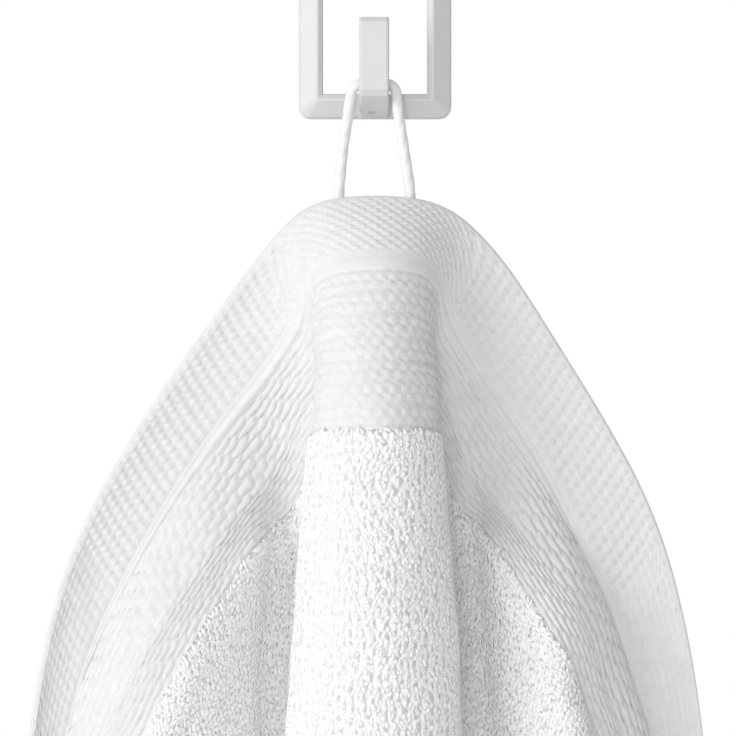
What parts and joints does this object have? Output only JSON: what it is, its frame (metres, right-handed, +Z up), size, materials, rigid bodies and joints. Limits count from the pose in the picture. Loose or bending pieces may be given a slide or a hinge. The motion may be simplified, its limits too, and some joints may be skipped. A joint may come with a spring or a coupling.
{
  "type": "hand towel on a wall hook",
  "caption": "White terry hand towel hanging in deep folds by its twisted cord loop from a square painted metal wall hook.",
  "frame": {"origin": "centre of the hook's lower bar on its back face, which lies on the wall plane", "axes": "+Z up, +Y into the wall, so the front faces -Y; +X to the right as seen from the front"},
  "size_m": [0.3445, 0.0663, 0.8099],
  "materials": {
    "towel_cotton": "undyed white cotton, looped pile with flat woven end bands",
    "loop_cotton": "white cotton cord of three twisted plies",
    "white_paint": "satin white paint"
  },
  "bodies": {
    "root": {"towel": "towel_cotton", "hanging_loop": "loop_cotton", "wall_hook": "white_paint"}
  },
  "joints": []
}
